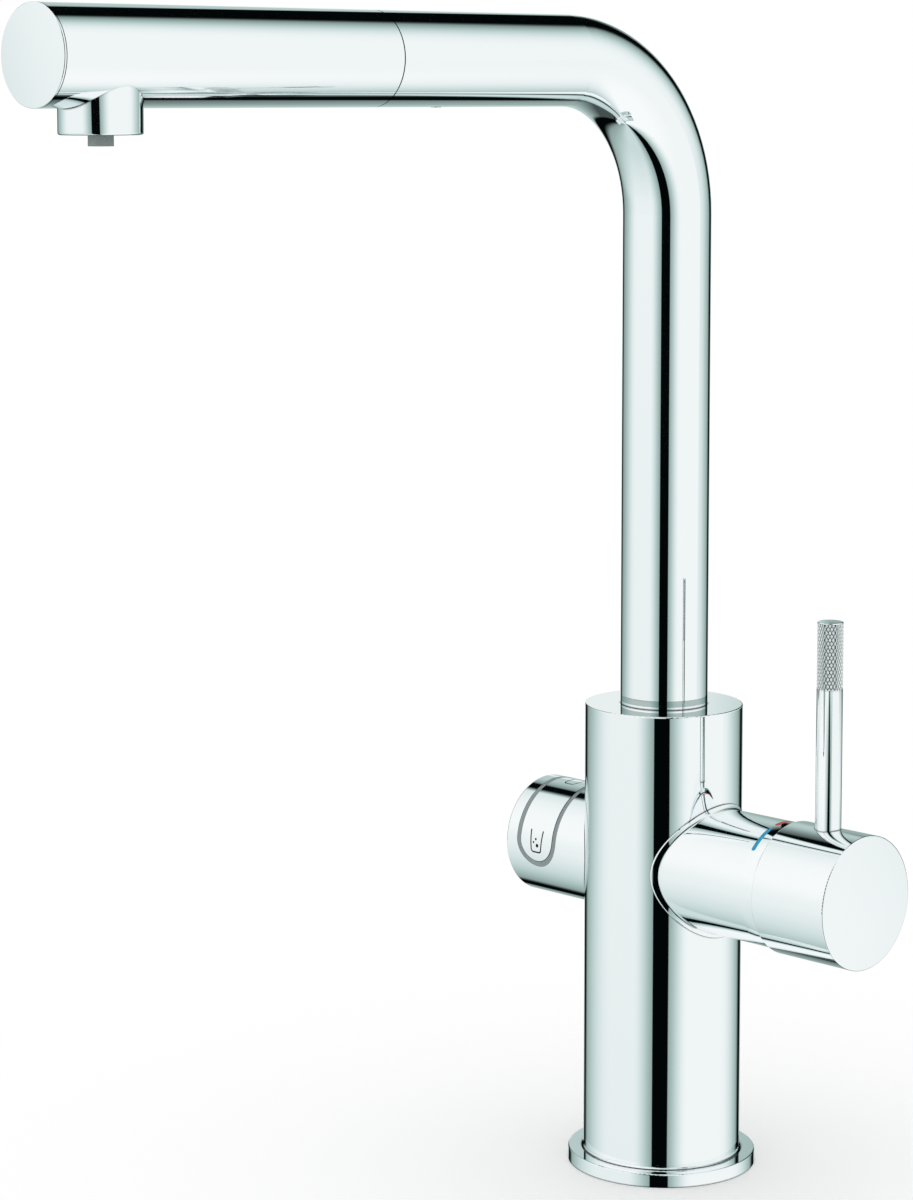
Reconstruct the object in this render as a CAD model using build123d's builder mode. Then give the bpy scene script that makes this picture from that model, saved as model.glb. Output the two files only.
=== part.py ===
from build123d import *
import os
from math import cos, radians, sin, sqrt

# Filtered water kitchen tap with a swivel spout, a pull-out spray head, a side mixer lever and a
# control knob for filtered water. Millimetres. The origin is the centre of the foot on the worktop,
# +Z is up, the spout points along -Y, the mixer is on +X and the control knob on -X.

os.makedirs("parts", exist_ok=True)

# Foot and body
plate_r = 29.4
plate_t = 4.2
plate_bore = 21.0
gasket_in = 23.0
gasket_out = 27.0
gasket_t = 1.2
body_r = 24.6
body_bore = 22.2
body_top = 146.1
body_lid = 3.0
flare = 0.65
flare_lip = 0.25
flare_height = 1.1
edge_round = 0.4
fit_gap = 0.05
loose_gap = 0.1

# Brass core inside the body
core_r = 22.1
core_bottom = 0.5
core_foot_r = 20.8
core_top = 117.6
hose_passage_r = 6.0
inlet_r = 4.46
inlet_depth = 10.0
stud_r = 2.5
stud_depth = 12.0
stud_offset = 9.2
cold_inlet = (2.0, -11.4)
hot_inlet = (2.0, 11.4)
mixed_outlet = (11.6, 0.0)
passage_r = 3.0
valve_r = 2.9
valve_bore = 1.4
valve_span = (12.0, 22.0)
cable_x = -15.2
cable_r = 1.8
gland_r = 2.6
gland_depth = 3.5
gland_bore = 1.0

# Riser, bend and arm of the spout
tube_r = 13.6
tube_bore = 12.2
spout_z = 345.2
bend_r = 46.5
riser_foot = 120.0
seam_y = -123.2
seam_gap = 0.4
socket_bore = 16.1
socket_bottom = 117.8
socket_floor_bore = 6.4
lower_ring_height = 6.0
lower_ring_floor = 0.45
upper_ring_z = 138.0
washer_top = 148.85
riser_neck_r = 12.9
lip_top = 147.0
stop_z = 131.0
stop_screw_r = 2.4
stop_tip_r = 1.2
stop_half_angle = 81.5
stop_slot_half = 1.5

# Hose inside the spout
hose_r = 5.2
hose_bore = 3.6
filtered_r = 2.2
filtered_bore = 1.4
hose_end_y = -112.0
filtered_end_y = -126.0
guide_bore = 5.6
guide_length = 6.0
arm_guide_y = -62.0

# Mouth of the spout and spray head
collar_back = -93.0
collar_front = -121.5
collar_bore = 9.58
dock_screw_y = -98.5
dock_screw_r = 1.4
dock_screw_proud = 0.12
spigot_r = 9.5
spigot_bore = 7.0
spigot_back = -101.0
spigot_front = -130.0
o_ring_y = -110.0
o_ring_r = 0.6
connector_back = -100.5
connector_bore = 3.4
connector_front = -126.0
valve_front = -129.9
valve_ring_r = 4.2
head_bore = 12.1
head_end = -241.2
cap_t = 0.9
cap_line = 0.25
cap_dome = 0.35
cap_bevel = 0.12
cap_rim_bore = 10.5
cap_rim_length = 3.85
boss_y = -219.2
boss_r = 11.2
boss_bore = 9.75
boss_bottom = 324.7
boss_round = 0.7
nozzle_r = 3.4
nozzle_bore = 1.8
nozzle_bottom = 321.8
aerator_bottom = 325.4
aerator_top = 337.7
aerator_lip_bore = 7.4
aerator_inner = 8.2
mesh_t = 1.5
mesh_hole_r = 0.45
seal_top = 339.2
insert_r = 8.0
insert_bottom = 339.3
mixed_z = 3.8
mixed_channel_r = 1.9
mixed_drop_x = 5.6
filtered_z = -3.9
filtered_channel_r = 1.4

# Mixer branch and cartridge, all about one axis along X
mixer_z = 96.75
sleeve_r = 19.3
sleeve_bore = 17.2
sleeve_end = 53.2
saddle_gap = 0.12
flange_r = 20.7
flange_t = 0.45
flange_round = 0.9
boss_face = 25.0
core_boss_r = 17.0
pivot_x = 48.6
cartridge_r = 16.8
cartridge_bore = 13.8
base_end = 28.4
fixed_disc_start = 28.5
fixed_disc_end = 31.4
moving_disc_start = 31.43
moving_disc_end = 33.9
carrier_start = 33.95
carrier_end = 37.8
spindle_start = 38.1
spindle_flange_end = 42.1
spindle_end = 53.0
housing_wall = 42.4
housing_shoulder = 44.0
housing_end = 50.0
housing_neck_r = 12.2
nut_length = 4.0
disc_r = 9.6
disc_shift = 2.1
disc_chamber_top = 2.2
disc_chamber_depth = 1.8
disc_fixed_r = 13.0
rail_y = 7.1
inlet_port = (5.5, 3.5)
inlet_port_r = 1.8
outlet_port_z = -4.5
outlet_port_r = 2.4
seal_grow = 1.1
ball_x = 36.3
ball_r = 2.0
ball_clearance = 0.3
ball_neck_r = 1.3
neck_r = 10.2
pin_r = 1.5
pin_half = 9.6
stem_half_y = 2.5
stem_half_z = 3.0
stem_start = 40.5
stem_end = 72.0

# Handle
handle_r = 20.25
handle_start = 53.7
handle_end = 81.5
handle_bore = 17.9
handle_dome = 0.35
dome_gap = 0.3
end_wall = 2.0
lever_x = 66.4
rod_r = 3.9
rod_top = 179.5
rod_stud_r = 2.4
rod_stud_low = 4.2
set_screw_x = 68.0
set_screw_low = 12.5
hub_r = 12.0
hub_start = 58.2
hub_nose = 60.0
hub_nose_r = 7.0
hub_end = 74.0

# Control knob
knob_r = 18.6
knob_bore = 16.6
knob_end = -50.8
knob_mid = -37.65
capsule_low = 7.0
capsule_high = 88.0
light_out = 8.5
light_in = 6.95
light_sunk = 0.06
button_half = 6.75
button_inner = 17.1
icon_low = 5.9
icon_high = 90.0
icon_depth = 0.25
icon_stroke = 0.5
knob_core_r = 16.3
core_back = -48.6
core_front = -24.9
pocket_back = -47.2
pocket_front = -28.4
pocket_floor = 7.4
board_top = 8.6
lamp_top = 9.35
switch_top = 10.25
keypad_low = 10.5
keypad_high = 11.0
dome_top = 11.4
plunger_end = 11.65
pivot_out = 14.2
button_pin_r = 0.8
pin_tip = -26.5
switch_t = 9.0
switch_half = 2.2
lamp_x = 7.7
lamp_t = 4.0
knob_spigot_r = 11.8
knob_spigot_end = -13.6
knob_screw_head = -26.9
knob_screw_tip = -8.8
knob_screw_r = 1.9
knob_screw_head_r = 3.4
carrier_half = 5.3
carrier_inner = 15.2
carrier_span = 39.0

# Coloured marks on the sleeve, as angles from the user's side up and over the top
mark_x = 49.2
mark_half = 0.7
mark_depth = 0.22
mark_sunk = 0.04
cold_angles = (44.0, 69.5)
hot_angles = (81.0, 106.0)


def pipe(start, end, outer, inner=0.0, mode=Mode.ADD):
    # A round bar or tube from one point to another.
    run = Vector(*end) - Vector(*start)
    with BuildSketch(Plane(origin=start, z_dir=run)) as profile:
        Circle(outer)
        if inner > 0:
            Circle(inner, mode=Mode.SUBTRACT)
    extrude(profile.sketch, amount=run.length, mode=mode)


def drill(start, end, radius):
    pipe(start, end, radius, mode=Mode.SUBTRACT)


def on_mixer(x, y=0.0, z=0.0):
    # A point given from the mixer's axis.
    return (x, y, mixer_z + z)


def on_spout(y, x=0.0, z=0.0):
    # A point given from the axis of the spout's arm.
    return (x, y, spout_z + z)


mixer_axis = Axis(on_mixer(0), (1, 0, 0))
mixer_plane = Plane(origin=on_mixer(0), x_dir=(1, 0, 0), z_dir=(0, -1, 0))
arm_axis = Axis(on_spout(0), (0, 1, 0))
arm_plane = Plane(origin=on_spout(0), x_dir=(0, 1, 0), z_dir=(1, 0, 0))


def turned_on_mixer(*points):
    # A closed outline of (x, radius) points, turned about the mixer's axis.
    with BuildSketch(mixer_plane) as profile:
        with BuildLine():
            Polyline(*points, close=True)
        make_face()
    revolve(profile.sketch, axis=mixer_axis)


def turned_on_riser(*points):
    # A closed outline of (radius, height) points, turned about the riser's axis.
    with BuildSketch(Plane.XZ) as profile:
        with BuildLine():
            Polyline(*points, close=True)
        make_face()
    revolve(profile.sketch, axis=Axis.Z)


def swept_tube(start_z, end_y, outer, inner):
    # A tube up the riser, round the bend and along the arm.
    with BuildLine() as route:
        FilletPolyline((0, 0, start_z), (0, 0, spout_z), (0, end_y, spout_z), radius=bend_r)
    with BuildSketch(Plane.XY.offset(start_z)) as profile:
        Circle(outer)
        Circle(inner, mode=Mode.SUBTRACT)
    sweep(profile.sketch, path=route.wires()[0])


def hex_socket(start, inward, across_r, depth):
    # A hexagon recess cut into a screw's end.
    with BuildSketch(Plane(origin=start, z_dir=inward)) as profile:
        RegularPolygon(across_r, 6)
    extrude(profile.sketch, amount=depth, mode=Mode.SUBTRACT)


# Foot plate, flat under, with a groove for its seal
with BuildPart() as base_plate:
    pipe((0, 0, 0), (0, 0, plate_t), plate_r, plate_bore)
    rims = base_plate.edges().filter_by(GeomType.CIRCLE).group_by(SortBy.RADIUS)[-1]
    fillet(rims.sort_by(Axis.Z)[-1], edge_round)
    pipe((0, 0, 0), (0, 0, gasket_t), gasket_out, gasket_in, Mode.SUBTRACT)

with BuildPart() as base_gasket:
    pipe((0, 0, 0), (0, 0, gasket_t), gasket_out - loose_gap, gasket_in + loose_gap)

# Body cylinder: a flared foot, a lid with a low lip round the riser's hole, and the two side openings
ring_bore = riser_neck_r + fit_gap
lid_bore = ring_bore + loose_gap
with BuildPart() as body_shell:
    with BuildSketch(Plane.XZ):
        with BuildLine():
            foot_edge = (body_r + flare, plate_t + flare_lip)
            TangentArc((body_r, plate_t + flare_height), foot_edge, tangent=(0, -1))
            Polyline(
                foot_edge,
                (body_r + flare, plate_t),
                (body_bore, plate_t),
                (body_bore, body_top - body_lid),
                (lid_bore, body_top - body_lid),
                (lid_bore, lip_top),
                (tube_r, lip_top),
                (tube_r, body_top),
                (body_r, body_top),
                (body_r, plate_t + flare_height),
            )
        make_face()
    revolve(axis=Axis.Z)
    rims = body_shell.edges().filter_by(GeomType.CIRCLE).group_by(Axis.Z)[-2]
    fillet(rims.sort_by(SortBy.RADIUS)[-1], edge_round)
    drill(on_mixer(8), on_mixer(body_r + 5), core_boss_r + loose_gap)
    drill(on_mixer(-8), on_mixer(-body_r - 5), knob_spigot_r + 2 * loose_gap)
    drill((0, 18, stop_z), (0, body_r + 5, stop_z), stop_screw_r + 2 * loose_gap)

# Brass block: it holds the threaded inlets, the water passages and the hose's way through
core_cold_z = mixer_z + inlet_port[1]
core_mixed_z = mixer_z + outlet_port_z
with BuildPart() as waterway_core:
    pipe((0, 0, core_bottom), (0, 0, plate_t), core_foot_r)
    pipe((0, 0, plate_t), (0, 0, core_top), core_r)
    pipe(on_mixer(0), on_mixer(boss_face), core_boss_r)
    drill((0, 0, 0), (0, 0, core_top + 1), hose_passage_r)
    for spot, port_y in ((cold_inlet, -inlet_port[0]), (hot_inlet, inlet_port[0])):
        drill((*spot, 0), (*spot, core_bottom + inlet_depth), inlet_r)
        drill((*spot, core_bottom + inlet_depth), (*spot, core_cold_z + 2), passage_r)
        drill((*spot, core_cold_z), (boss_face + 1, port_y, core_cold_z), inlet_port_r)
    drill((*mixed_outlet, 0), (*mixed_outlet, core_bottom + inlet_depth), inlet_r)
    drill((*mixed_outlet, core_bottom + inlet_depth), (*mixed_outlet, core_mixed_z + 2), passage_r)
    drill((*mixed_outlet, core_mixed_z), (boss_face + 1, 0, core_mixed_z), outlet_port_r)
    for side in (-stud_offset, stud_offset):
        drill((-stud_offset, side, 0), (-stud_offset, side, core_bottom + stud_depth), stud_r)
    drill(on_mixer(knob_spigot_end + loose_gap), on_mixer(-core_r - 1), knob_spigot_r + loose_gap)
    drill(on_mixer(knob_screw_tip + 0.2), on_mixer(knob_spigot_end - 1), knob_screw_r + loose_gap)
    drill((cable_x, 0, 0), (cable_x, 0, mixer_z - 10), cable_r)
    drill((cable_x, 0, 0), (cable_x, 0, core_bottom + gland_depth), gland_r)

with BuildPart() as non_return_valves:
    for spot in (cold_inlet, hot_inlet):
        pipe((*spot, valve_span[0]), (*spot, valve_span[1]), valve_r, valve_bore)

with BuildPart() as cable_gland:
    gland_top = core_bottom + gland_depth
    pipe((cable_x, 0, core_bottom), (cable_x, 0, gland_top), gland_r - fit_gap, gland_bore)

# Seat of the riser, with its two plastic rings, its washer and the screw that limits the swivel
under_lid = body_top - body_lid - loose_gap
ring_floor = riser_foot - fit_gap - lower_ring_floor
socket_floor = ring_floor - loose_gap
with BuildPart() as swivel_socket:
    turned_on_riser(
        (socket_floor_bore, socket_bottom),
        (core_r, socket_bottom),
        (core_r, under_lid),
        (socket_bore, under_lid),
        (socket_bore, socket_floor),
        (socket_floor_bore, socket_floor),
    )
    drill((0, socket_bore - 2, stop_z), (0, core_r + 1, stop_z), stop_screw_r + fit_gap)

with BuildPart() as lower_slide_ring:
    ring_end = ring_floor + lower_ring_height
    pipe((0, 0, ring_floor), (0, 0, ring_end), socket_bore - fit_gap, tube_bore + 0.2)
    drill((0, 0, riser_foot - fit_gap), (0, 0, ring_end + 1), ring_bore)

with BuildPart() as top_slide_ring:
    pipe((0, 0, upper_ring_z), (0, 0, under_lid), socket_bore - fit_gap, ring_bore)

with BuildPart() as riser_washer:
    pipe((0, 0, lip_top), (0, 0, washer_top), tube_r, ring_bore)

with BuildPart() as swivel_stop_screw:
    tip_start = socket_bore + 0.3
    screw_end = body_r - 1
    pipe((0, tip_start, stop_z), (0, screw_end, stop_z), stop_screw_r)
    pipe((0, tube_bore + loose_gap, stop_z), (0, tip_start, stop_z), stop_tip_r)
    hex_socket((0, screw_end, stop_z), (0, -1, 0), 1.4, 2.5)

# Spout: one bent tube with a thinner neck in its seat, and a slot in it for the stop screw's tip
slot_start = radians(90 - stop_half_angle)
slot_plane = Plane(
    origin=(0, 0, 0),
    x_dir=(cos(slot_start), sin(slot_start), 0),
    z_dir=(sin(slot_start), -cos(slot_start), 0),
)
with BuildPart() as spout_tube:
    swept_tube(riser_foot, seam_y + seam_gap / 2, tube_r, tube_bore)
    pipe((0, 0, riser_foot), (0, 0, washer_top + fit_gap), tube_r + 1, riser_neck_r, Mode.SUBTRACT)
    with BuildSketch(slot_plane):
        with Locations((tube_r - 0.5, stop_z)):
            Rectangle(4, 2 * stop_slot_half)
    revolve(axis=Axis.Z, revolution_arc=2 * stop_half_angle, mode=Mode.SUBTRACT)
    drill(on_spout(dock_screw_y, z=-8), on_spout(dock_screw_y, z=-16), dock_screw_r + fit_gap)

with BuildPart() as dock_collar:
    pipe(on_spout(collar_back), on_spout(collar_front), tube_bore - loose_gap, collar_bore)
    drill(on_spout(dock_screw_y, z=-8), on_spout(dock_screw_y, z=-16), dock_screw_r + fit_gap)

with BuildPart() as dock_screw:
    pipe(
        on_spout(dock_screw_y, z=-tube_r - dock_screw_proud),
        on_spout(dock_screw_y, z=-collar_bore - 0.6),
        dock_screw_r,
    )

with BuildPart() as hose_guides:
    riser_guide = riser_foot + 1
    arm_guide_end = arm_guide_y - guide_length
    pipe((0, 0, riser_guide), (0, 0, riser_guide + guide_length), tube_bore - loose_gap, guide_bore)
    pipe(on_spout(arm_guide_y), on_spout(arm_guide_end), tube_bore - loose_gap, guide_bore)

# The pull-out hose: an outer hose for mixed water with a thin one inside it for filtered water
with BuildPart() as pull_out_hose:
    swept_tube(core_bottom, hose_end_y, hose_r, hose_bore)

with BuildPart() as filtered_hose:
    swept_tube(core_bottom, filtered_end_y, filtered_r, filtered_bore)

# Spray head: a tube with a round outlet boss under its front end
head_back = seam_y - seam_gap / 2
shell_front = head_end + cap_t + cap_line
with BuildPart() as head_shell:
    pipe(on_spout(head_back), on_spout(shell_front), tube_r)
    pipe((0, boss_y, boss_bottom), on_spout(boss_y), boss_r)
    rims = head_shell.edges().filter_by(GeomType.CIRCLE).group_by(Axis.Z)[0]
    fillet(rims, boss_round)
    drill(on_spout(head_back + 1), on_spout(shell_front - 1), head_bore)
    drill((0, boss_y, boss_bottom - 1), on_spout(boss_y), boss_bore)

# Slightly domed end of the head, with a rim that plugs into the tube
with BuildPart() as head_end_cap:
    cap_edge = (head_end + cap_dome, tube_r - cap_bevel)
    cap_back = head_end + cap_t
    rim_back = cap_back + cap_rim_length
    with BuildSketch(arm_plane):
        with BuildLine():
            ThreePointArc((head_end, 0), (head_end + cap_dome / 4, tube_r / 2), cap_edge)
            Polyline(
                cap_edge,
                (head_end + cap_dome + cap_bevel, tube_r),
                (cap_back, tube_r),
                (cap_back, head_bore - loose_gap),
                (rim_back, head_bore - loose_gap),
                (rim_back, cap_rim_bore),
                (cap_back, cap_rim_bore),
                (cap_back, 0),
                (head_end, 0),
            )
        make_face()
    revolve(axis=arm_axis)

o_ring_outer = spigot_r + fit_gap
with BuildPart() as head_spigot:
    flange_y = head_back - 0.6
    groove_half = o_ring_r + loose_gap
    groove_r = o_ring_outer - 2 * o_ring_r
    pipe(on_spout(spigot_back), on_spout(flange_y), spigot_r)
    pipe(on_spout(flange_y), on_spout(spigot_front), head_bore - loose_gap)
    drill(on_spout(spigot_back + 1), on_spout(spigot_front - 1), spigot_bore)
    groove_start = on_spout(o_ring_y + groove_half)
    groove_end = on_spout(o_ring_y - groove_half)
    pipe(groove_start, groove_end, spigot_r + 1, groove_r, Mode.SUBTRACT)

with BuildPart() as spigot_o_ring:
    with BuildSketch(Plane.YZ):
        with Locations((o_ring_y, spout_z + o_ring_outer - o_ring_r)):
            Circle(o_ring_r)
    revolve(axis=Axis(on_spout(0), (0, 1, 0)))

connector_r = spigot_bore - 0.2
with BuildPart() as hose_connector:
    hose_stop = hose_end_y - loose_gap
    pipe(on_spout(connector_back), on_spout(hose_stop), connector_r, hose_r + fit_gap)
    pipe(on_spout(hose_stop), on_spout(connector_front), connector_r, connector_bore)
    drill(on_spout(connector_front + 3), on_spout(connector_front - 1), connector_r - 1.2)

with BuildPart() as head_valve:
    pipe(on_spout(connector_front - 0.2), on_spout(valve_front), connector_r, 1.6)
    for turn in range(6):
        across = valve_ring_r * cos(radians(60 * turn))
        up = valve_ring_r * sin(radians(60 * turn))
        drill(on_spout(connector_front, across, up), on_spout(valve_front - 1, across, up), 1.0)

# Plastic waterway of the head: the mixed channel above, the filtered channel below it
with BuildPart() as flow_insert:
    insert_back = spigot_front - loose_gap
    slope_end = on_spout(spigot_front - 15, z=filtered_z)
    filtered_turn = on_spout(boss_y, z=filtered_z)
    below = (0, boss_y, insert_bottom - 1)
    pipe(on_spout(insert_back), on_spout(insert_back - 3), head_bore - loose_gap)
    pipe(on_spout(insert_back), on_spout(boss_y - 8), insert_r)
    drill((0, boss_y, insert_bottom - 4), (0, boss_y, insert_bottom), boss_bore)
    pipe((0, boss_y, insert_bottom), on_spout(boss_y, z=6.5), boss_bore - 0.35)
    pipe(on_spout(spigot_front), on_spout(spigot_front - 1.6), 6.2, 3.2, Mode.SUBTRACT)
    drill(on_spout(spigot_front, z=mixed_z), on_spout(boss_y, z=mixed_z), mixed_channel_r)
    side_start = on_spout(boss_y, -mixed_drop_x, mixed_z)
    side_end = on_spout(boss_y, mixed_drop_x, mixed_z)
    drill(side_start, side_end, mixed_channel_r - 0.2)
    for side in (-mixed_drop_x, mixed_drop_x):
        drill((side, boss_y, insert_bottom - 1), on_spout(boss_y, side, mixed_z), mixed_channel_r)
    drill(on_spout(spigot_front), slope_end, filtered_channel_r)
    drill(slope_end, filtered_turn, filtered_channel_r)
    drill(below, filtered_turn, filtered_channel_r)

with BuildPart() as aerator_seal:
    pipe((0, boss_y, aerator_top), (0, boss_y, seal_top), boss_bore - 0.35, 8.0)

with BuildPart() as aerator_housing:
    top = (0, boss_y, aerator_top)
    pipe((0, boss_y, aerator_bottom), top, boss_bore - 0.15, aerator_lip_bore)
    drill((0, boss_y, aerator_bottom + 0.8), top, aerator_inner)

with BuildPart() as aerator_mesh:
    low = aerator_bottom + 0.9
    pipe((0, boss_y, low), (0, boss_y, low + mesh_t), aerator_inner - 0.1, nozzle_r + 0.1)
    for ring_radius, holes in ((4.4, 14), (5.7, 18), (7.0, 22)):
        with BuildSketch(Plane.XY.offset(low)):
            with Locations((0, boss_y)):
                with PolarLocations(ring_radius, holes):
                    Circle(mesh_hole_r)
        extrude(amount=mesh_t, mode=Mode.SUBTRACT)

with BuildPart() as filtered_nozzle:
    pipe((0, boss_y, nozzle_bottom), (0, boss_y, seal_top), nozzle_r, nozzle_bore)


# Angles round the mixer's axis start at the user's side and go up and over the top.
over_axis = Axis(on_mixer(0), (-1, 0, 0))


def radial(angle):
    # Unit direction away from the mixer's axis: 0 degrees faces the user, 90 degrees points up.
    return (0, -cos(radians(angle)), sin(radians(angle)))


def radial_plane(angle):
    # A plane through the mixer's axis whose second direction is the radial one.
    turn = radians(angle)
    return Plane(origin=on_mixer(0), x_dir=(1, 0, 0), z_dir=(0, -sin(turn), -cos(turn)))


def curved_block(x_mid, x_half, low, high, start_angle, end_angle, mode=Mode.ADD):
    # A block between two radii, wrapped round the mixer's axis from one angle to another.
    with BuildSketch(radial_plane(start_angle)) as profile:
        with Locations((x_mid, (low + high) / 2)):
            Rectangle(2 * x_half, high - low)
    revolve(profile.sketch, axis=over_axis, revolution_arc=end_angle - start_angle, mode=mode)


def mark_block(angles, high, mode=Mode.ADD):
    # A short stripe with round ends, wrapped round the sleeve, up to a radius.
    low = sleeve_r - mark_depth
    curved_block(mark_x, mark_half, low, high, *angles, mode)
    for angle in angles:
        _, out_y, out_z = radial(angle)
        start = (mark_x, out_y * low, mixer_z + out_z * low)
        end = (mark_x, out_y * high, mixer_z + out_z * high)
        pipe(start, end, mark_half, mode=mode)


with BuildPart() as cold_mark:
    mark_block(cold_angles, sleeve_r - mark_sunk)

with BuildPart() as hot_mark:
    mark_block(hot_angles, sleeve_r - mark_sunk)

# Side branch: a tube with a thin flange that lies round the body, its end domed about the lever's pivot.
# The flange starts as a stand-in for the body, which is then cut away
dome_x = sleeve_end - pivot_x
dome_end_r = sqrt(sleeve_r**2 - dome_x**2)
half_dome_r = sqrt(sleeve_r**2 - dome_x**2 / 4)
with BuildPart() as mixer_sleeve:
    pipe((0, 0, mixer_z - 30), (0, 0, mixer_z + 30), body_r + flange_t)
    pipe(on_mixer(0), on_mixer(sleeve_end), flange_r, mode=Mode.INTERSECT)
    pipe(on_mixer(0), on_mixer(sleeve_end - 10), sleeve_r)
    corner_height = 2 * sleeve_r + flange_t
    corner = mixer_sleeve.edges().filter_by(
        lambda edge: edge.center().X > 5 and edge.bounding_box().size.Z < corner_height
    )
    corner = corner.filter_by(lambda edge: edge.geom_type not in (GeomType.CIRCLE, GeomType.LINE))
    fillet(corner, flange_round)
    with BuildSketch(mixer_plane):
        with BuildLine():
            ThreePointArc(
                (pivot_x, sleeve_r),
                (pivot_x + dome_x / 2, half_dome_r),
                (sleeve_end, dome_end_r),
            )
            Polyline(
                (sleeve_end, dome_end_r),
                (sleeve_end, sleeve_bore),
                (10, sleeve_bore),
                (10, sleeve_r),
                (pivot_x, sleeve_r),
            )
        make_face()
    revolve(axis=mixer_axis)
    drill((0, 0, mixer_z - 31), (0, 0, mixer_z + 31), body_r + saddle_gap)
    drill(on_mixer(10), on_mixer(sleeve_end), sleeve_bore)
    mark_block(cold_angles, sleeve_r + 1, Mode.SUBTRACT)
    mark_block(hot_angles, sleeve_r + 1, Mode.SUBTRACT)


def port_holes(start, end):
    # The three water ports, drilled between two places on the mixer's axis.
    for side in (-inlet_port[0], inlet_port[0]):
        drill(on_mixer(start, side, inlet_port[1]), on_mixer(end, side, inlet_port[1]), inlet_port_r)
    drill(on_mixer(start, 0, outlet_port_z), on_mixer(end, 0, outlet_port_z), outlet_port_r)


# Cartridge, from the brass block outwards
with BuildPart() as cartridge_base:
    pipe(on_mixer(boss_face + fit_gap), on_mixer(base_end), cartridge_r)
    port_holes(boss_face, base_end + 1)
    for side in (-inlet_port[0], inlet_port[0]):
        spot = (side, inlet_port[1])
        drill(on_mixer(boss_face, *spot), on_mixer(boss_face + 1, *spot), inlet_port_r + seal_grow)
    drill(
        on_mixer(boss_face, 0, outlet_port_z),
        on_mixer(boss_face + 1, 0, outlet_port_z),
        outlet_port_r + seal_grow,
    )

with BuildPart() as cartridge_seals:
    seal_places = (
        (-inlet_port[0], inlet_port[1], inlet_port_r),
        (inlet_port[0], inlet_port[1], inlet_port_r),
        (0, outlet_port_z, outlet_port_r),
    )
    for side, up, hole_r in seal_places:
        seal_start = on_mixer(boss_face + fit_gap, side, up)
        seal_end = on_mixer(boss_face + 1 - fit_gap, side, up)
        pipe(seal_start, seal_end, hole_r + seal_grow - fit_gap, hole_r)

with BuildPart() as ceramic_disc_fixed:
    pipe(on_mixer(fixed_disc_start), on_mixer(fixed_disc_end), disc_fixed_r)
    port_holes(fixed_disc_start - 1, fixed_disc_end + 1)

with BuildPart() as cartridge_housing:
    turned_on_mixer(
        (fixed_disc_start, cartridge_bore),
        (fixed_disc_start, cartridge_r),
        (housing_shoulder, cartridge_r),
        (housing_shoulder, housing_neck_r),
        (housing_end, housing_neck_r),
        (housing_end, neck_r + fit_gap),
        (housing_wall, neck_r + fit_gap),
        (housing_wall, cartridge_bore),
    )

with BuildPart() as cartridge_nut:
    nut_start = housing_shoulder + 0.2
    nut_bore = housing_neck_r + 0.2
    pipe(on_mixer(nut_start), on_mixer(nut_start + nut_length), sleeve_bore - loose_gap, nut_bore)

def across_mixer(x, z=0.0):
    # A plane square to the mixer's axis, facing outwards.
    return Plane(origin=on_mixer(x, z=z), x_dir=(0, 1, 0), z_dir=(1, 0, 0))


with BuildPart() as ceramic_disc_moving:
    disc_back = on_mixer(moving_disc_start, z=-disc_shift)
    pipe(disc_back, on_mixer(moving_disc_end, z=-disc_shift), disc_r)
    with BuildSketch(across_mixer(moving_disc_start, -disc_shift)):
        Circle(disc_r - 1.4)
        with Locations((0, disc_chamber_top + disc_r)):
            Rectangle(2 * disc_r, 2 * disc_r, mode=Mode.SUBTRACT)
    extrude(amount=disc_chamber_depth, mode=Mode.SUBTRACT)

with BuildPart() as disc_carrier:
    with BuildSketch(across_mixer(carrier_start, -disc_shift)):
        Circle(disc_r)
        Rectangle(2 * rail_y, 2 * disc_r, mode=Mode.INTERSECT)
    extrude(amount=carrier_end - carrier_start)
    drill(on_mixer(carrier_start - 1), on_mixer(carrier_end + 1), ball_r + ball_clearance)

with BuildPart() as cartridge_spindle:
    pipe(on_mixer(spindle_start), on_mixer(spindle_flange_end), cartridge_bore - 0.3)
    pipe(on_mixer(spindle_flange_end), on_mixer(spindle_end), neck_r)
    with BuildSketch(across_mixer(carrier_start + 1)):
        with Locations((-rail_y - 1.5, 0), (rail_y + 1.5, 0)):
            Rectangle(2.4, 16)
    extrude(amount=spindle_start - carrier_start - 1)
    with BuildSketch(mixer_plane):
        with BuildLine():
            Polyline(
                (pivot_x - 11, -3.4),
                (pivot_x - 11, 7.9),
                (pivot_x + 1, 3.5),
                (pivot_x + 5, 3.5),
                (pivot_x + 5, -5.5),
                (pivot_x - 1, -3.4),
                close=True,
            )
        make_face()
    extrude(amount=stem_half_y + 0.4, both=True, mode=Mode.SUBTRACT)
    drill(on_mixer(pivot_x, -neck_r - 1), on_mixer(pivot_x, neck_r + 1), pin_r + 0.02)

with BuildPart() as lever_pivot_pin:
    pipe(on_mixer(pivot_x, -pin_half), on_mixer(pivot_x, pin_half), pin_r)

with BuildPart() as lever_stem:
    with BuildSketch(across_mixer(stem_start)):
        Rectangle(2 * stem_half_y, 2 * stem_half_z)
    extrude(amount=stem_end - stem_start)
    pipe(on_mixer(ball_x), on_mixer(stem_start + 0.1), ball_neck_r)
    with Locations(on_mixer(ball_x)):
        Sphere(ball_r)
    drill(on_mixer(pivot_x, -5), on_mixer(pivot_x, 5), pin_r + fit_gap)

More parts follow.
